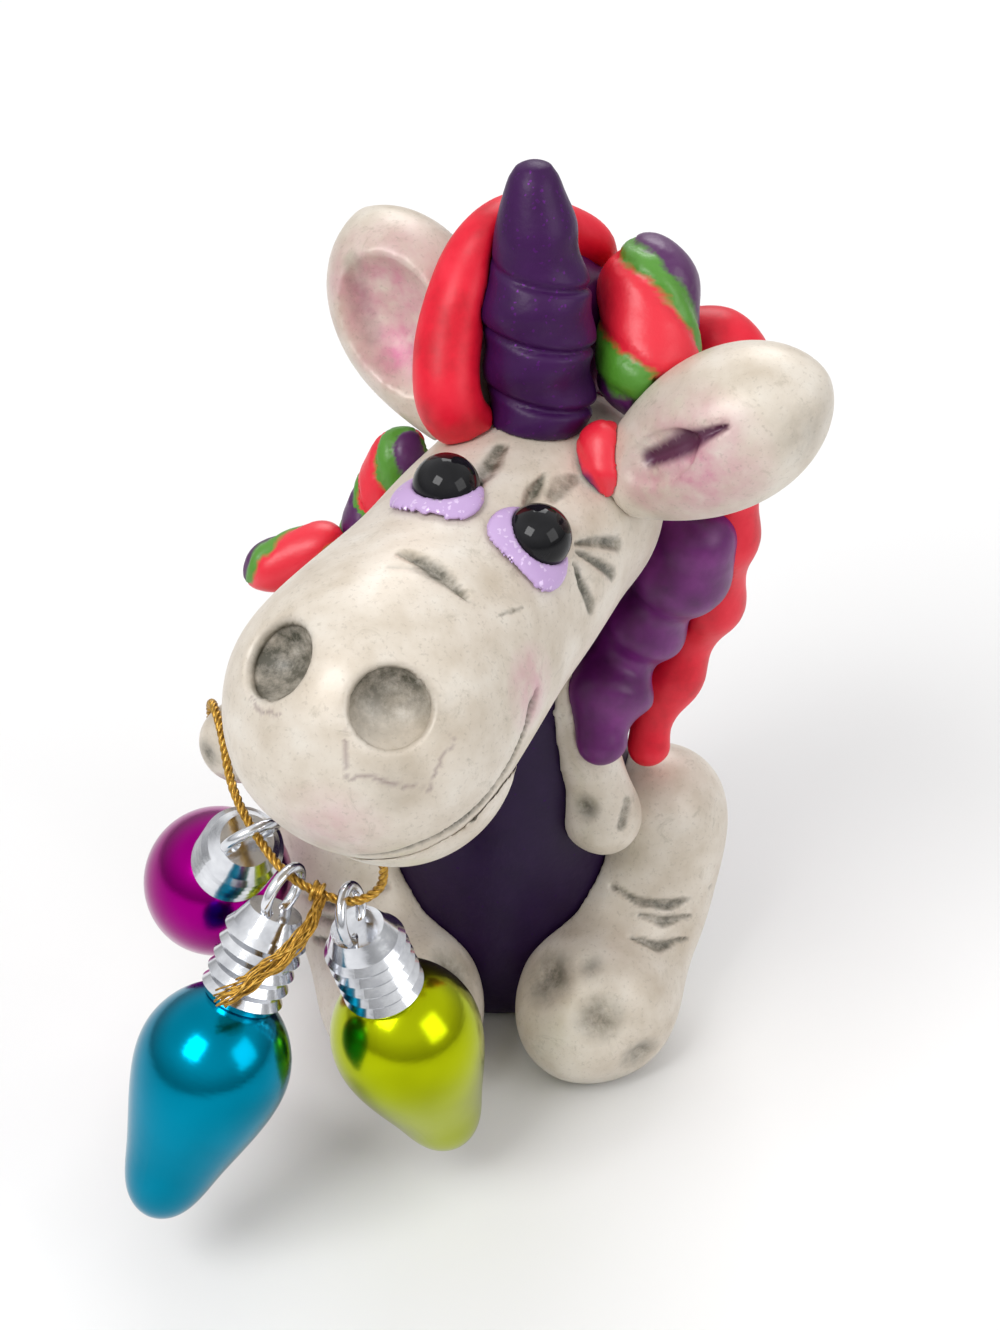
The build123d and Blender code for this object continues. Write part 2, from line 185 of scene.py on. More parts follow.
def pearl_clay():
    m = Mat("pearl_clay")
    mottle = m.noise(260, 5)
    base = m.ramp(mottle, [(0.3, PEARL_DARK), (0.55, PEARL_MID), (0.75, PEARL_LIGHT)])
    speck = m.noise(1500, 3)
    blush = m.math("MULTIPLY", m.attribute("blush"), m.mask(m.noise(420, 4), 0.25, 0.7))
    col = m.mix(blush, base, BLUSH)
    # Olive wash, and painted shade in the nostrils, from a painted attribute, broken up by noise
    rough_wash_and_shade = m.mask(m.noise(620, 6, 0.7), 0.3, 0.62)
    patchy = m.math("ADD", m.math("MULTIPLY", rough_wash_and_shade, 0.75), 0.3)
    wash_and_shade = m.math("MULTIPLY", m.attribute("wash_and_shade"), patchy)
    col = m.mix(wash_and_shade, col, WASH_AND_SHADE)
    stain = m.math("MULTIPLY", m.mask(m.noise(330, 8, 0.75, 1.2), 0.56, 0.7), 0.36)
    col = m.mix(stain, col, STAIN)
    speckle = m.math("MULTIPLY", m.mask(m.noise(3000, 2, 0.6), 0.58, 0.72), 0.22)
    col = m.mix(speckle, col, SPECKLE)
    col = m.mix(m.attribute("fold"), col, FOLD)
    m.color(col)
    m.set(Roughness=0.42, Metallic=0.06, Coat_Weight=0.18, Coat_Roughness=0.35)
    grain = m.math("ADD", m.math("MULTIPLY", speck, 0.6), m.math("MULTIPLY", mottle, 0.4))
    return m.bump(grain, 0.28, 0.00012).mat


def plain_clay(name, dark, mid, light, rough=0.42, coat=0.15):
    m = Mat(name)
    mottle = m.noise(300, 5)
    col = m.ramp(mottle, [(0.28, dark), (0.52, mid), (0.78, light)])
    m.color(col)
    m.set(Roughness=rough, Coat_Weight=coat, Coat_Roughness=0.3, Specular_IOR_Level=0.35)
    speck = m.noise(1700, 3)
    grain = m.math("ADD", m.math("MULTIPLY", speck, 0.5), m.math("MULTIPLY", mottle, 0.5))
    return m.bump(grain, 0.25, 0.00012).mat


def glitter_clay(name, base, flake, scale=5200, amount=0.86, rough=0.4):
    m = Mat(name)
    cells = m.voronoi(scale)
    spark = m.mask(cells.outputs["Color"], amount, amount + 0.02)
    mottle = m.noise(320, 4)
    body = m.mix(m.math("MULTIPLY", mottle, 0.35), base, flake)
    m.color(m.mix(m.math("MULTIPLY", spark, 0.75), body, flake))
    m.link(m.math("MULTIPLY", spark, 0.7), m.bsdf.inputs["Metallic"])
    m.set(Roughness=rough, Specular_IOR_Level=0.22)
    return m.bump(m.noise(1500, 4), 0.3, 0.00012).mat


PLUM_CANE, GREEN_CANE, RED_CANE = lin(78, 20, 84), lin(78, 142, 38), lin(230, 32, 54)
THREE_CANES = [(0.0, PLUM_CANE), (0.24, PLUM_CANE), (0.28, GREEN_CANE), (0.44, GREEN_CANE),
               (0.48, RED_CANE), (0.76, RED_CANE), (0.80, GREEN_CANE), (0.88, GREEN_CANE), (0.92, PLUM_CANE)]
TWO_CANES = [(0.0, PLUM_CANE), (0.14, PLUM_CANE), (0.2, RED_CANE), (0.8, RED_CANE), (0.86, PLUM_CANE)]


def banded_clay(name, stops):
    """Canes of clay twisted together; the band attributes run round and along the roll."""
    m = Mat(name)
    wobble = m.math("MULTIPLY", m.noise(330, 3), 0.16)
    turn = m.math("ARCTAN2", m.attribute("band_sin"), m.attribute("band_cos"), clamp=False)
    turn = m.math("DIVIDE", turn, 2 * math.pi, clamp=False)
    band = m.math("FRACT", m.math("ADD", turn, wobble, clamp=False), 0.0)
    m.color(m.ramp(band, stops))
    m.set(Roughness=0.42, Coat_Weight=0.15, Coat_Roughness=0.3)
    return m.bump(m.noise(1500, 4), 0.3, 0.00015).mat


def metallised(name, colour, rough=0.2):
    m = Mat(name)
    soft = m.noise(120, 2)
    dark = tuple(c * 0.8 for c in colour[:3]) + (1.0,)
    m.color(m.ramp(soft, [(0.3, dark), (0.7, colour)]))
    m.set(Metallic=1.0, Roughness=rough)
    return m.bump(m.noise(260, 3), 0.05, 0.0002).mat


PEARL = pearl_clay()
VIOLET_HORN = glitter_clay("violet_glitter_clay", lin(44, 6, 56), lin(90, 36, 112))
VIOLET_BODY = glitter_clay("violet_body_clay", lin(26, 7, 42), lin(58, 26, 84), 5200, 0.93, 0.4)
RED = plain_clay("red_clay", lin(192, 8, 32), lin(226, 16, 46), lin(238, 40, 62), 0.44, 0.06)
PLUM = plain_clay("plum_clay", lin(70, 10, 70), lin(98, 20, 100), lin(122, 36, 122))
TWIST = banded_clay("twisted_clay", THREE_CANES)
EDGED = banded_clay("plum_edged_clay", TWO_CANES)
LILAC = glitter_clay("lilac_glitter_clay", lin(190, 158, 208), lin(226, 206, 236), 4200, 0.8, 0.42)
MAGENTA = metallised("magenta_plating", lin(160, 0, 128))
CYAN = metallised("turquoise_plating", lin(0, 132, 164))
LIME = metallised("lime_plating", lin(176, 188, 10))


def bead_black():
    m = Mat("black_bead")
    m.color(m.ramp(m.noise(500, 2), [(0.3, (0.004, 0.004, 0.005, 1)), (0.7, (0.012, 0.012, 0.014, 1))]))
    m.set(Roughness=0.07, Specular_IOR_Level=0.22)
    return m.bump(m.noise(700, 2), 0.03, 0.0001).mat


def silver_plating():
    m = Mat("silver_plating")
    m.color(m.ramp(m.noise(400, 3), [(0.3, lin(190, 192, 198)), (0.7, lin(232, 234, 238))]))
    m.set(Metallic=1.0, Roughness=0.16)
    return m.bump(m.noise(900, 3), 0.12, 0.00015).mat


def gold_thread():
    m = Mat("gold_thread")
    m.color(m.ramp(m.noise(2600, 3), [(0.3, GOLD_DARK), (0.6, GOLD_MID), (0.8, GOLD_LIGHT)]))
    m.set(Metallic=0.75, Roughness=0.34)
    return m.bump(m.noise(5200, 2), 0.3, 0.00006).mat


def steel_wire():
    m = Mat("steel_wire")
    m.color(m.ramp(m.noise(900, 3), [(0.3, lin(120, 120, 122)), (0.7, lin(170, 170, 172))]))
    m.set(Metallic=1.0, Roughness=0.35)
    return m.bump(m.noise(2400, 3), 0.15, 0.00008).mat


def dress(node, material):
    """Gives a solid that keeps its own mesh its material."""
    data = bpy.data.objects[node].data
    data.materials.clear()
    data.materials.append(material)


BLACK = bead_black()
STEEL = steel_wire()
SILVER = silver_plating()
GOLD = gold_thread()


# Sculpting helpers, all in millimetres
FLOOR_REACH = 0.3


def add_balls(mesh, balls):
    """Adds balls of clay that the remesh fuses with the piece."""
    work = bmesh.new()
    work.from_mesh(mesh)
    for centre, radius in balls:
        place = Matrix.Translation(Vector(centre) * MM)
        bmesh.ops.create_icosphere(work, subdivisions=3, radius=radius * MM, matrix=place)
    work.to_mesh(mesh)
    work.free()


class Clay:
    """A remeshed copy of one solid that can be dented, grooved and painted."""

    def __init__(self, node, material, voxel, smooth, balls=()):
        self.node = node
        source = bpy.data.objects[node]
        mesh = source.data.copy()
        add_balls(mesh, balls)
        mesh.materials.clear()
        self.obj = bpy.data.objects.new(node + "_clay", mesh)
        bpy.context.scene.collection.objects.link(self.obj)
        remesh = self.obj.modifiers.new("remesh", "REMESH")
        remesh.mode = "VOXEL"
        remesh.voxel_size = voxel * MM
        soften = self.obj.modifiers.new("soften", "SMOOTH")
        soften.factor = 0.5
        soften.iterations = smooth
        graph = bpy.context.evaluated_depsgraph_get()
        made = bpy.data.meshes.new_from_object(self.obj.evaluated_get(graph))
        self.obj.modifiers.clear()
        self.obj.data = made
        made.materials.clear()
        made.materials.append(material)
        self.count = len(made.vertices)
        flat = np.empty(self.count * 3)
        made.vertices.foreach_get("co", flat)
        self.co = flat.reshape(-1, 3) / MM
        made.vertices.foreach_get("normal", flat)
        self.normal = flat.reshape(-1, 3).copy()
        self.paint = {}
        tree_faces = [tuple(p.vertices) for p in made.polygons]
        self.tree = BVHTree.FromPolygons([Vector(c) * MM for c in self.co], tree_faces)

    def hit(self, px, py):
        """Where the photograph's pixel meets this piece."""
        place = self.tree.ray_cast(EYE, pixel_ray(px, py))[0]
        return None if place is None else np.array(place) / MM

    def mask(self, name):
        return self.paint.setdefault(name, np.zeros(self.count))

    def dent(self, centre, radius, depth, paint=None, amount=1.0, spread=1.15):
        """A soft round dent; its paint fades out a little beyond the spread, counted in radii."""
        if centre is None:
            return self
        gap = np.linalg.norm(self.co - centre, axis=1) / radius
        fall = np.exp(-(gap ** 2) * 1.6)
        self.co -= self.normal * (depth * fall)[:, None]
        if paint:
            m = self.mask(paint)
            np.maximum(m, amount * np.clip(1.25 - gap / spread, 0, 1), out=m)
        return self

    def hollow(self, centre, radius, depth, shade):
        """Deepens a hollow the solid already has and paints wash and painted shade into it; the painted shade
        is darkest at the upper rim and paler towards the lower rim by the shade.
        """
        off = (self.co - centre) / radius
        inside = np.clip((1.2 - np.linalg.norm(off, axis=1)) / 0.2, 0, 1)
        lift = off @ np.array(UP)
        lift -= lift[inside > 0.5].mean()
        # Painted shade: darker towards the pit's upper rim, paler towards its lower rim
        painted_shade = np.clip(1.0 - shade * (0.5 - lift), 0.1, 1.0)
        self.co -= self.normal * (depth * inside)[:, None]
        m = self.mask("wash_and_shade")
        np.maximum(m, painted_shade * inside, out=m)
        return self

    def groove(self, points, width, depth, paint=None, amount=1.0, leaf=None):
        """A pressed line; leaf gives its width at start, middle and end as shares of the width."""
        points = [p for p in points if p is not None]
        if len(points) < 2:
            return self
        leaf = leaf or (1.0, 1.0, 1.0)
        runs = [np.linalg.norm(b - a) for a, b in zip(points[:-1], points[1:])]
        reach = np.full(self.count, 1e9)
        gone = 0.0
        for a, b, run_length in zip(points[:-1], points[1:], runs):
            run = b - a
            t = np.clip(((self.co - a) @ run) / max(run @ run, 1e-9), 0, 1)
            along = (gone + t * run_length) / sum(runs)
            wide = width * np.interp(along, (0.0, 0.5, 1.0), leaf)
            reach = np.minimum(reach, np.linalg.norm(self.co - (a + t[:, None] * run), axis=1) / wide)
            gone += run_length
        self.co -= self.normal * (depth * np.exp(-(reach ** 2) * 1.2))[:, None]
        if paint:
            m = self.mask(paint)
            np.maximum(m, amount * np.clip((1.35 - reach) / 0.6, 0, 1), out=m)
        return self

    def stroke(self, pixels, width, depth, paint=None, amount=1.0, leaf=None):
        """A pressed line through pixels of the photograph."""
        return self.groove([self.hit(*p) for p in pixels], width, depth, paint, amount, leaf)

    def lumps(self, size, height, seed=0.0):
        """Hand-made unevenness."""
        p = self.co / size + seed
        wave = np.sin(p[:, 0] * 1.7 + np.sin(p[:, 1] * 1.3)) * np.cos(p[:, 2] * 1.5 + np.sin(p[:, 0] * 1.1))
        wave += 0.5 * np.sin(p[:, 1] * 3.1 + 1.7) * np.cos(p[:, 2] * 2.7 - p[:, 0])
        self.co += self.normal * (height * wave / 1.5)[:, None]
        return self

    def done(self, slot):
        """Writes the shape and its paint back, kept above the floor, and lets it stand for its solid."""
        mesh = self.obj.data
        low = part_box(self.node)[0][2] / MM
        if low < FLOOR_REACH:
            self.co[:, 2] = np.maximum(self.co[:, 2], 0.0)
        mesh.vertices.foreach_set("co", (self.co * MM).ravel())
        for name in ["wash_and_shade", "blush", "fold"] + [n for n in self.paint if n.startswith("band")]:
            layer = mesh.attributes.new(name, "FLOAT", "POINT")
            layer.data.foreach_set("value", self.mask(name))
        mesh.polygons.foreach_set("use_smooth", np.ones(len(mesh.polygons), dtype=bool))
        mesh.update()
        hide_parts(self.node)
        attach(self.obj, ROOT)


# Head
HEAD = (Matrix.Translation((3.6, -12.3, 58.8)) @ Matrix.Rotation(math.radians(-28.3), 4, "Z")
        @ Matrix.Rotation(math.radians(4.0), 4, "X") @ Matrix.Rotation(math.radians(5.5), 4, "Y"))
MUZZLE_REACH, MUZZLE_RADIUS = 27.2, 11.0
NOSTRIL_RADIUS, NOSTRIL_DEPTH, NOSTRIL_SINK = 3.2, 1.7, 0.9
NOSTRIL_AIM = (4.55, -5.7, 7.25)
NOSTRIL_LIP_RADIUS, NOSTRIL_LIP_DEPTH = 3.6, 0.6
PITS_PER_NOSTRIL = 6


def on_head(x, y, z):
    return np.array(HEAD @ Vector((x, y, z)))


rng = np.random.default_rng(7)
head = Clay("head", PEARL, voxel=0.34, smooth=5)
head.lumps(size=7.0, height=0.12)
# Nostrils: deepened pits painted with wash and with painted shade that darkens their upper rims, and mottled
# wash dents round each
for side, shade, pit_wash in ((1, 0.8, 0.5), (-1, 0.15, 0.85)):
    out, forward, rise = NOSTRIL_AIM
    aim = Vector((side * out, forward, rise)).normalized()
    pit = aim * (MUZZLE_RADIUS + NOSTRIL_RADIUS - NOSTRIL_DEPTH)
    head.hollow(on_head(pit.x, pit.y - MUZZLE_REACH, pit.z), NOSTRIL_RADIUS, NOSTRIL_SINK, shade)
    bottom = aim * (MUZZLE_RADIUS - NOSTRIL_DEPTH)
    centre = on_head(bottom.x, bottom.y - MUZZLE_REACH, bottom.z)
    head.dent(centre, NOSTRIL_LIP_RADIUS, NOSTRIL_LIP_DEPTH)
    for off in rng.normal(0.0, 1.0, (PITS_PER_NOSTRIL, 3)):
        radius, depth = rng.uniform(0.7, 1.3), rng.uniform(0.1, 0.3)
        head.dent(centre + off, radius, depth, "wash_and_shade", pit_wash, spread=1.0)

# Pressed lines: pixels in the photograph, width, depth, strength of the wash, and widths along the line
LASH = (0.35, 0.8, 1.0)
LEAF = (0.3, 1.0, 0.3)
LINE = (0.6, 1.0, 0.6)
BROW = (0.5, 1.0, 0.7)
NOSE_FOLDS = [([(401, 552), (424, 562), (446, 577), (467, 597)], 0.75, 0.5, 0.9, LEAF),
              ([(385, 566), (420, 570), (452, 588), (476, 606)], 0.3, 0.12, 0.35, LEAF),
              ([(497, 615), (510, 612), (524, 608)], 0.16, 0.05, 0.7, LEAF)]
BROWS = [([(478, 492), (488, 470), (501, 447)], 0.75, 0.4, 0.9, BROW),
         ([(522, 512), (532, 494), (545, 474)], 0.6, 0.4, 0.95, LEAF),
         ([(552, 497), (563, 484), (575, 478)], 0.8, 0.15, 0.7, LINE)]
LASHES = [([(577, 543), (597, 542), (618, 544)], 0.55, 0.4, 0.95, LASH),
          ([(578, 552), (595, 561), (613, 574)], 0.5, 0.4, 0.95, LASH),
          ([(575, 563), (582, 584), (592, 607)], 0.55, 0.4, 0.95, LASH)]
MOUTH = [([(537, 692), (527, 726), (512, 762), (484, 802), (452, 828), (414, 846), (360, 856)],
          0.42, 0.4, 0.95, LINE),
         ([(536, 694), (532, 706), (527, 722)], 0.6, 0.3, 0.9, LEAF)]
for pixels, width, depth, amount, leaf in NOSE_FOLDS + BROWS + LASHES + MOUTH:
    head.stroke(pixels, width, depth, "wash_and_shade", amount, leaf)

# Fine crackled lines round the nostrils, a little unsteady
CRACKLES = [[(343, 726), (346, 752), (347, 777)],
            [(347, 777), (370, 778), (394, 783), (430, 792)],
            [(430, 792), (437, 769), (448, 752), (458, 739), (450, 726)],
            [(243, 684), (258, 712), (282, 716)]]
CRACKLE_JITTER = 1.8
for crackle in CRACKLES:
    fine_line = []
    for (ax, ay), (bx, by) in zip(crackle[:-1], crackle[1:]):
        for t in (0.0, 0.25, 0.5, 0.75):
            x = ax + (bx - ax) * t + rng.normal(0, CRACKLE_JITTER)
            y = ay + (by - ay) * t + rng.normal(0, CRACKLE_JITTER)
            fine_line.append((x, y))
    head.stroke(fine_line + [crackle[-1]], 0.15, 0.06, "fold", 0.4, LINE)

# Smudges of wash and blush: pixel, radius, paint, strength and spread
for pixel, radius, paint, amount, spread in (((436, 705), 2.2, "wash_and_shade", 0.22, 1.1),
                                             ((392, 788), 2.6, "wash_and_shade", 0.2, 1.1),
                                             ((532, 688), 3.0, "blush", 0.75, 1.0),
                                             ((330, 830), 4.0, "blush", 0.35, 1.0)):
    head.dent(head.hit(*pixel), radius, 0.0, paint, amount, spread)
head.done("pearl_clay")

jaw = Clay("lower_jaw", PEARL, voxel=0.3, smooth=4).lumps(size=6.0, height=0.08)
jaw.stroke([(518, 768), (476, 817), (417, 850), (351, 862)], 0.3, 0.2, "wash_and_shade", 0.9, LINE)
jaw.done("pearl_clay")

# Ears
EAR_ROOT = Vector((5.6, -1.6, 4.5))
EAR_AIM = Vector((0.70, 0.30, 0.65)).normalized()
EAR_FACE = Vector((0.0, -0.80, 0.45))
EAR_FACE = (EAR_FACE - EAR_AIM * EAR_FACE.dot(EAR_AIM)).normalized()
FILL_RADIUS, FILL_DEPTH = 3.2, 0.6
# Places along the left ear and its half thickness there
EAR_GIRTHS = ((6.5, 4.95), (8.0, 5.5), (9.5, 5.95), (11.0, 6.06))
fold_fill = []
for along, girth in EAR_GIRTHS:
    place = EAR_ROOT + EAR_AIM * along + EAR_FACE * (girth - FILL_DEPTH - FILL_RADIUS)
    fold_fill.append((on_head(*place), FILL_RADIUS))
left_ear = Clay("left_ear", PEARL, voxel=0.34, smooth=7, balls=fold_fill).lumps(size=6.0, height=0.12)
left_ear.stroke([(648, 459), (668, 451), (690, 441), (724, 427)], 1.0, 0.8, "fold", 1.0, (0.7, 1.0, 0.25))
left_ear.dent(left_ear.hit(690, 468), 5.0, 0.0, "blush", 0.85, 1.1)
left_ear.dent(left_ear.hit(660, 475), 3.5, 0.0, "blush", 0.8, 1.0)
left_ear.dent(left_ear.hit(808, 430), 3.0, 0.0, "wash_and_shade", 0.3, 1.0)
left_ear.done("pearl_clay")
right_ear = Clay("right_ear", PEARL, voxel=0.34, smooth=7).lumps(size=6.0, height=0.12, seed=2.0)
right_ear.dent(right_ear.hit(390, 290), 4.5, 0.0, "blush", 0.9, 1.1)
right_ear.dent(right_ear.hit(402, 345), 3.5, 0.1, "blush", 1.0, 1.0)
right_ear.stroke([(352, 262), (360, 300), (372, 335)], 0.8, 0.1, "wash_and_shade", 0.3)
right_ear.done("pearl_clay")

# Torso, legs and arms
torso = Clay("torso", VIOLET_BODY, voxel=0.55, smooth=6).lumps(size=8.0, height=0.12)
torso.done("violet_clay")

# Toe dents of the left leg, mirrored on the right: pixel, radius, depth and strength of the wash
TOES = [((545, 975), 2.7, 0.9, 0.95), ((600, 1020), 2.1, 0.7, 0.8), ((641, 1056), 1.9, 0.7, 0.8),
        ((590, 965), 1.2, 0.3, 0.55), ((686, 1012), 1.5, 0.25, 0.4)]
CREASES = [([(612, 886), (640, 902), (672, 905), (710, 886)], 0.95),
           ([(640, 914), (664, 922), (690, 915)], 0.8),
           ([(632, 937), (658, 947), (686, 938)], 0.9)]
CREASE_WIDTH, CREASE_DEPTH = 0.5, 0.5
SOLE_HEIGHT, SOLE_DARKENING = 2.2, 0.5
left_leg = Clay("left_leg", PEARL, voxel=0.36, smooth=6).lumps(size=6.5, height=0.16)
toe_places = [left_leg.hit(*toe[0]) for toe in TOES]
crease_places = [[left_leg.hit(*p) for p in line] for line, _ in CREASES]
right_leg = Clay("right_leg", PEARL, voxel=0.36, smooth=6).lumps(size=6.5, height=0.16, seed=3.0)
for piece, turn in ((left_leg, np.ones(3)), (right_leg, np.array([-1.0, 1.0, 1.0]))):
    # Legs darker towards the floor, fading out within about the sole height
    sole = piece.mask("wash_and_shade")
    np.maximum(sole, SOLE_DARKENING * np.exp(-((piece.co[:, 2] / SOLE_HEIGHT) ** 2)), out=sole)
    for place, (_, radius, depth, amount) in zip(toe_places, TOES):
        piece.dent(None if place is None else place * turn, radius, depth, "wash_and_shade", amount, spread=1.0)
    for line, (_, amount) in zip(crease_places, CREASES):
        places = [p * turn for p in line if p is not None]
        piece.groove(places, CREASE_WIDTH, CREASE_DEPTH, "wash_and_shade", amount, LEAF)
    piece.done("pearl_clay")

left_arm = Clay("left_arm", PEARL, voxel=0.3, smooth=5).lumps(size=5.0, height=0.1)
left_arm.dent(left_arm.hit(585, 808), 1.3, 0.4, "wash_and_shade", 0.85, spread=1.0)
left_arm.stroke([(627, 802), (625, 814), (622, 826)], 0.45, 0.25, "wash_and_shade", 0.8)
left_arm.done("pearl_clay")
right_arm = Clay("right_arm", PEARL, voxel=0.3, smooth=5).lumps(size=5.0, height=0.1, seed=1.0)
right_arm.dent(right_arm.hit(206, 755), 1.4, 0.4, "wash_and_shade", 0.85, spread=1.0)
right_arm.done("pearl_clay")

# Horn, with its groove winding round
HORN_SINK = 4.0
HORN_ROOT = Matrix.Translation((0.1, -1.6, 9.4 - HORN_SINK))
HORN = (HEAD @ HORN_ROOT @ Matrix.Rotation(math.radians(-13.0), 4, "X")
        @ Matrix.Rotation(math.radians(-12.0), 4, "Y"))
HORN_LENGTH, HORN_TURNS = 24.0, 5.0
GROOVE_DEPTH, GROOVE_WIDTH_SHARE, GROOVE_END_SHARE = 0.5, 0.06, 0.72
TIP_START, TIP_LENGTH, TIP_RADIUS = 20.5, 3.4, 2.75


def on_horn(places):
    """Places measured along and round the horn."""
    return (np.linalg.inv(np.array(HORN)) @ np.c_[places, np.ones(len(places))].T).T[:, :3]


horn = Clay("horn", VIOLET_HORN, voxel=0.24, smooth=3)
local = on_horn(horn.co)
level = local[:, 2] / HORN_LENGTH
angle = np.arctan2(local[:, 1], local[:, 0])
phase = np.mod(angle / (2 * math.pi) + level * HORN_TURNS, 1.0)
gap = np.minimum(phase, 1.0 - phase)
fade = np.clip((GROOVE_END_SHARE - level) / 0.12, 0, 1) * np.clip(level / 0.08, 0, 1)
horn.co -= horn.normal * (GROOVE_DEPTH * np.exp(-((gap / GROOVE_WIDTH_SHARE) ** 2)) * fade)[:, None]
horn.lumps(size=3.0, height=0.06)
local = on_horn(horn.co)
out_share = np.minimum(np.linalg.norm(local[:, :2], axis=1) / TIP_RADIUS, 1.0)
dome = TIP_START + TIP_LENGTH * np.sqrt(1.0 - out_share ** 2)
drop = np.where(local[:, 2] > TIP_START, np.maximum(local[:, 2] - dome, 0.0), 0.0)
horn.co -= np.array(HORN.to_3x3() @ Vector((0, 0, 1))) * drop[:, None]
horn.done("violet_clay")

# Hair
HEIGHT = 86.0
SEAT = 12.0
RED_BAND = 0.54
BAND_EDGES = (0.18, 0.38, 0.70, 0.82)
BAND_GROOVE_SHARE = 0.035
STEPS_PER_RUN = 12
ROUTES = {
    "forelock_twist": [(0.135, -0.023, 0.779), (0.134, 0.0, 0.806), (0.133, 0.035, 0.842),
                       (0.133, 0.07, 0.879), (0.131, 0.099, 0.903)],
    "right_mane_twist": [(-0.075, 0.04, 0.73), (-0.1, 0.036, 0.69), (-0.117, 0.032, 0.65),
                         (-0.135, 0.02, 0.615), (-0.15, 0.012, 0.605)],
    "right_mane_end": [(-0.14, 0.008, 0.625), (-0.175, 0.006, 0.62), (-0.21, 0.002, 0.607),
                       (-0.238, 0.0, 0.588)],
    "forelock_drop": [(0.093, -0.041, 0.793), (0.092, -0.058, 0.783), (0.092, -0.076, 0.765),
                      (0.091, -0.093, 0.748)],
}


def bands(piece, twist, front, groove):
    """Paints and grooves canes that wind along a roll, red to the camera at the front share of its length."""
    pts = np.array(ROUTES[piece.node]) * HEIGHT - np.array([0.0, SEAT, 0.0])
    runs = [np.linspace(a, b, STEPS_PER_RUN, endpoint=False) for a, b in zip(pts[:-1], pts[1:])]
    fine = np.concatenate(runs + [pts[-1:]])
    near = np.linalg.norm(piece.co[:, None, :] - fine[None], axis=2).argmin(axis=1)
    way = np.gradient(fine, axis=0)
    way /= np.linalg.norm(way, axis=1)[:, None]
    side = np.cross(way, [0.0, 0.0, 1.0])
    side /= np.maximum(np.linalg.norm(side, axis=1), 1e-6)[:, None]
    other = np.cross(way, side)
    off = piece.co - fine[near]
    ang = np.arctan2((off * other[near]).sum(1), (off * side[near]).sum(1)) / (2 * math.pi)
    along = near / (len(fine) - 1)
    i = int(front * (len(fine) - 1))
    toward = -np.array(LOOK)
    facing = math.atan2(other[i] @ toward, side[i] @ toward) / (2 * math.pi)
    band = ang - facing + (along - front) * twist + RED_BAND
    piece.paint["band_sin"] = np.sin(2 * math.pi * band)
    piece.paint["band_cos"] = np.cos(2 * math.pi * band)
    for edge in BAND_EDGES:
        gap = np.abs(np.mod(band - edge + 0.5, 1.0) - 0.5)
        piece.co -= piece.normal * (groove * np.exp(-((gap / BAND_GROOVE_SHARE) ** 2)))[:, None]
    return piece


front_twist = Clay("forelock_twist", TWIST, voxel=0.3, smooth=5).lumps(size=4.0, height=0.1)
bands(front_twist, twist=0.8, front=0.45, groove=0.3).done("mixed_clay")
right_twist = Clay("right_mane_twist", TWIST, voxel=0.3, smooth=5)
bands(right_twist, twist=1.4, front=0.4, groove=0.25).done("mixed_clay")
right_end = Clay("right_mane_end", TWIST, voxel=0.3, smooth=5)
bands(right_end, twist=0.5, front=0.5, groove=0.2).done("red_clay")
drop_lock = Clay("forelock_drop", EDGED, voxel=0.2, smooth=4)
bands(drop_lock, twist=0.3, front=0.5, groove=0.1).done("red_clay")

# Locks that swell above a level, to close up to their neighbours: level and amount
SWELL = {"left_mane_plum": (46.0, 0.8), "mane_crown": (70.0, 0.7)}
SWELL_RISE = 4.0
for node, material, slot_name in (("forelock_curl", RED, "red_clay"), ("left_mane_red", RED, "red_clay"),
                                  ("back_mane_red", RED, "red_clay"), ("tail", RED, "red_clay"),
                                  ("mane_crown", PLUM, "plum_clay"), ("left_mane_plum", PLUM, "plum_clay"),
                                  ("back_mane_plum", PLUM, "plum_clay")):
    lock = Clay(node, material, voxel=0.34, smooth=6).lumps(size=4.5, height=0.26)
    if node in SWELL:
        low, amount = SWELL[node]
        risen = np.clip((lock.co[:, 2] - low) / SWELL_RISE, 0, 1)
        lock.co += lock.normal * (amount * risen)[:, None]
    lock.done(slot_name)

# Eyes and lids
EYE_TURN, EYE_ANGLE = 10.2, 23.0
LID_LIFT, LID_SWELL = 0.3, 0.12
for side_name, side in (("left", 1), ("right", -1)):
    lid = Clay(side_name + "_eyelid", LILAC, voxel=0.14, smooth=4).lumps(size=3.0, height=0.04)
    tilt = Matrix.Rotation(math.radians(EYE_TURN + side * EYE_ANGLE), 3, "Y")
    outward = np.array(HEAD.to_3x3() @ tilt @ Vector((0, 0, 1)))
    lid.co += outward * LID_LIFT + lid.normal * LID_SWELL
    lid.done("lilac_clay")
    dress(side_name + "_eye", BLACK)

# Wires held inside the clay
for node in ("neck_wire", "horn_pin"):
    dress(node, STEEL)

# Bulbs keep their solids, with metallised finishes
for name, material in (("magenta", MAGENTA), ("cyan", CYAN), ("lime", LIME)):
    dress(name + "_bulb", material)
    dress(name + "_screw_cap", SILVER)
    dress(name + "_hanger_loop", SILVER)

# Cord
CORD_ROUTE = [(-9.3, -34.5, 45.6), (-8.8, -33.8, 38.6), (-9.6, -33.6, 36.2), (-12.0, -33.6, 35.0),
              (-16.6, -32.2, 36.4), (-19.6, -27.8, 37.5), (-21.6, -24.0, 39.0), (-22.4, -20.4, 42.0),
              (-23.5, -16.5, 42.0), (-24.0, -14.3, 39.0), (-24.0, -14.0, 35.6)]


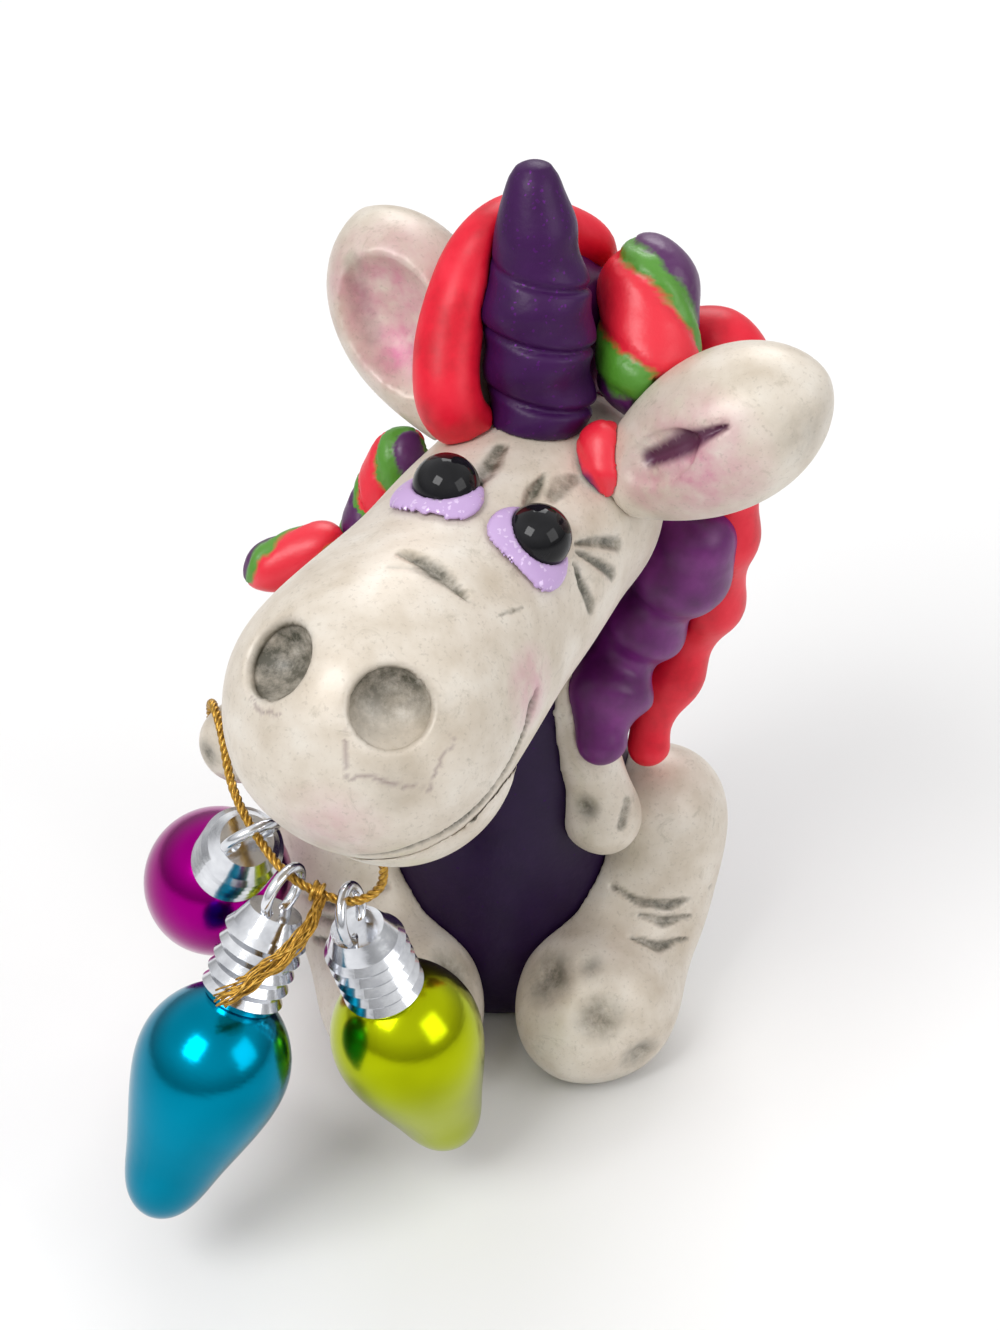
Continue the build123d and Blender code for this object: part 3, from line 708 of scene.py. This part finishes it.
def nurbs_points(name, route):
    curve = bpy.data.curves.new(name, "CURVE")
    curve.dimensions = "3D"
    curve.resolution_u = 24
    spline = curve.splines.new("NURBS")
    spline.points.add(len(route) - 1)
    for point, place in zip(spline.points, route):
        point.co = (*[c * MM for c in place], 1.0)
    spline.order_u = 3
    spline.use_endpoint_u = True
    holder = bpy.data.objects.new(name, curve)
    bpy.context.scene.collection.objects.link(holder)
    graph = bpy.context.evaluated_depsgraph_get()
    mesh = bpy.data.meshes.new_from_object(holder.evaluated_get(graph))
    places = np.array([v.co[:] for v in mesh.vertices])
    bpy.data.objects.remove(holder)
    return places


def frames(path):
    way = np.gradient(path, axis=0)
    way /= np.linalg.norm(way, axis=1)[:, None]
    side = np.zeros_like(path)
    first = np.cross(way[0], [0.0, 1.0, 0.3])
    side[0] = first / np.linalg.norm(first)
    for i in range(1, len(path)):
        s = side[i - 1] - way[i] * (side[i - 1] @ way[i])
        side[i] = s / np.linalg.norm(s)
    return way, side, np.cross(way, side)


def tube(path, radius, sides=8):
    way, side, other = frames(path)
    radius = np.broadcast_to(radius, len(path))
    verts, faces = [], []
    for i in range(len(path)):
        for k in range(sides):
            a = 2 * math.pi * k / sides
            verts.append(path[i] + (side[i] * math.cos(a) + other[i] * math.sin(a)) * radius[i])
    for i in range(len(path) - 1):
        for k in range(sides):
            a, b = i * sides + k, i * sides + (k + 1) % sides
            faces.append((a, b, b + sides, a + sides))
    faces.append(tuple(range(sides - 1, -1, -1)))
    last = (len(path) - 1) * sides
    faces.append(tuple(range(last, last + sides)))
    return verts, faces


def mesh_object(name, parts, material):
    verts, faces = [], []
    for v, f in parts:
        base = len(verts)
        verts += [tuple(p) for p in v]
        faces += [tuple(i + base for i in face) for face in f]
    mesh = bpy.data.meshes.new(name)
    mesh.from_pydata(verts, [], faces)
    mesh.polygons.foreach_set("use_smooth", np.ones(len(mesh.polygons), dtype=bool))
    mesh.materials.append(material)
    mesh.update()
    obj = bpy.data.objects.new(name, mesh)
    bpy.context.scene.collection.objects.link(obj)
    return obj


def evenly(path, step):
    run = np.r_[0, np.cumsum(np.linalg.norm(np.diff(path, axis=0), axis=1))]
    n = max(8, int(run[-1] / step))
    at = np.linspace(0, run[-1], n)
    return np.stack([np.interp(at, run, path[:, k]) for k in range(3)], 1), run[-1]


CORD_STEP, STRAND_PITCH, STRAND_RADIUS = 0.12 * MM, 2.0 * MM, 0.2 * MM
STRANDS = 3
cord_line = nurbs_points("cord_line", CORD_ROUTE)
cord_path, cord_length = evenly(cord_line, CORD_STEP)
way, side, other = frames(cord_path)
strands = []
turns = cord_length / STRAND_PITCH
for k in range(STRANDS):
    spin = np.linspace(0, 2 * math.pi * turns, len(cord_path)) + 2 * math.pi * k / STRANDS
    ring = side * np.cos(spin)[:, None] + other * np.sin(spin)[:, None]
    strands.append(tube(cord_path + ring * STRAND_RADIUS, STRAND_RADIUS, 7))
rope = mesh_object("gold_cord_rope", strands, GOLD)
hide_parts("gold_cord")
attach(rope, ROOT)

# Frayed end: loose fibres spreading from the knot
FRAY_ROUTE = [(-14.0, -33.5, 35.9), (-14.2, -35.6, 35.8), (-15.8, -37.9, 34.6), (-18.9, -39.4, 32.5),
              (-22.3, -40.4, 30.8)]
FRAY_STEP, FIBRE_RADIUS, FIBRE_WAVE = 0.35 * MM, 0.085 * MM, 0.14 * MM
FIBRES = 34
fray_path, _ = evenly(nurbs_points("fray_line", FRAY_ROUTE), FRAY_STEP)
_, fray_side, fray_other = frames(fray_path)
level = np.linspace(0, 1, len(fray_path))
fibres = []
for _ in range(FIBRES):
    a = rng.uniform(0, 2 * math.pi)
    spread = (0.25 + 0.6 * level ** 0.9) * MM * math.sqrt(rng.uniform(0.05, 1.0))
    turn = a + rng.uniform(1.5, 4.0) * level * rng.choice([-1, 1])
    wave = FIBRE_WAVE * np.sin(level * rng.uniform(14, 26) + rng.uniform(0, 6))
    line = fray_path + fray_side * (spread * np.cos(turn) + wave)[:, None]
    line = line + fray_other * (spread * np.sin(turn) - wave)[:, None]
    cut = int(len(line) * rng.uniform(0.78, 1.0))
    fibres.append(tube(line[:cut], FIBRE_RADIUS, 5))
fray = mesh_object("frayed_thread", fibres, GOLD)
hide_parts("frayed_cord_end")
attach(fray, ROOT)

# Knot: thread wound round the cord
low, high = (np.array(p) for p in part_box("cord_knot"))
middle = (low + high) / 2
here = np.linalg.norm(cord_path - middle, axis=1).argmin()
WRAP_TURNS, WRAP_POINTS, WRAP_HALF_LENGTH = 4.0, 160, 0.42
spin = np.linspace(0, 2 * math.pi * WRAP_TURNS, WRAP_POINTS)
shift = np.linspace(-WRAP_HALF_LENGTH, WRAP_HALF_LENGTH, WRAP_POINTS) * MM
core = cord_path[here] + way[here] * shift[:, None]
ring = side[here] * np.cos(spin)[:, None] + other[here] * np.sin(spin)[:, None]
wrap = core + ring * (0.62 + 0.12 * np.sin(spin * 0.37))[:, None] * MM
knot = mesh_object("cord_knot_wraps", [tube(wrap, STRAND_RADIUS, 7)], GOLD)
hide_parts("cord_knot")
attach(knot, ROOT)

# Floor
FLOOR_HALF = 1.5
floor_mesh = bpy.data.meshes.new("floor")
floor_corners = [(x * FLOOR_HALF, y * FLOOR_HALF, 0) for x, y in ((-1, -1), (1, -1), (1, 1), (-1, 1))]
floor_mesh.from_pydata(floor_corners, [], [(0, 1, 2, 3)])
floor = bpy.data.objects.new("floor", floor_mesh)
bpy.context.scene.collection.objects.link(floor)
fm = Mat("pale_floor")
fm.color(fm.ramp(fm.noise(6, 2), [(0.3, (0.86, 0.86, 0.86, 1)), (0.7, (0.9, 0.9, 0.9, 1))]))
fm.set(Roughness=0.9)
floor_mesh.materials.append(fm.mat)

# World: white to the camera; brighter above than below as light and in what shiny pieces mirror
world = bpy.data.worlds.new("studio")
bpy.context.scene.world = world
world.use_nodes = True
wt = world.node_tree
background = wt.nodes["Background"]
background.inputs["Color"].default_value = (1.0, 1.0, 1.0, 1.0)
direction = wt.nodes.new("ShaderNodeTexCoord")
height = wt.nodes.new("ShaderNodeSeparateXYZ")
wt.links.new(direction.outputs["Generated"], height.inputs["Vector"])
sky = wt.nodes.new("ShaderNodeMapRange")
sky.inputs["To Min"].default_value = 0.22
sky.inputs["To Max"].default_value = 0.75
wt.links.new(height.outputs["Z"], sky.inputs["Value"])
mirrored = wt.nodes.new("ShaderNodeMapRange")
mirrored.inputs["From Min"].default_value = -0.2
mirrored.inputs["From Max"].default_value = 0.5
mirrored.inputs["To Min"].default_value = 0.12
mirrored.inputs["To Max"].default_value = 1.0
wt.links.new(height.outputs["Z"], mirrored.inputs["Value"])
path_node = wt.nodes.new("ShaderNodeLightPath")


def world_math(operation, first, second):
    node = wt.nodes.new("ShaderNodeMath")
    node.operation = operation
    wt.links.new(first, node.inputs[0])
    wt.links.new(second, node.inputs[1])
    return node.outputs[0]


shiny = world_math("MAXIMUM", path_node.outputs["Is Glossy Ray"], path_node.outputs["Is Transmission Ray"])
shiny = world_math("MULTIPLY", shiny, mirrored.outputs["Result"])
strength = world_math("MAXIMUM", path_node.outputs["Is Camera Ray"], shiny)
strength = world_math("MAXIMUM", strength, sky.outputs["Result"])
wt.links.new(strength, background.inputs["Strength"])


# Soft lamps
def area(name, place, aim, size, power):
    data = bpy.data.lights.new(name, "AREA")
    data.size = size
    data.energy = power
    lamp = bpy.data.objects.new(name, data)
    lamp.location = place
    lamp.rotation_euler = (Vector(aim) - Vector(place)).to_track_quat("-Z", "Y").to_euler()
    bpy.context.scene.collection.objects.link(lamp)


area("key", (-0.22, -0.25, 0.42), (0, -0.01, 0.04), 0.22, 1.3)
area("fill", (0.34, -0.22, 0.26), (0, 0, 0.04), 0.26, 0.5)
area("back", (0.05, 0.36, 0.36), (0, 0, 0.05), 0.24, 0.8)

bpy.context.scene.view_settings.view_transform = "Standard"
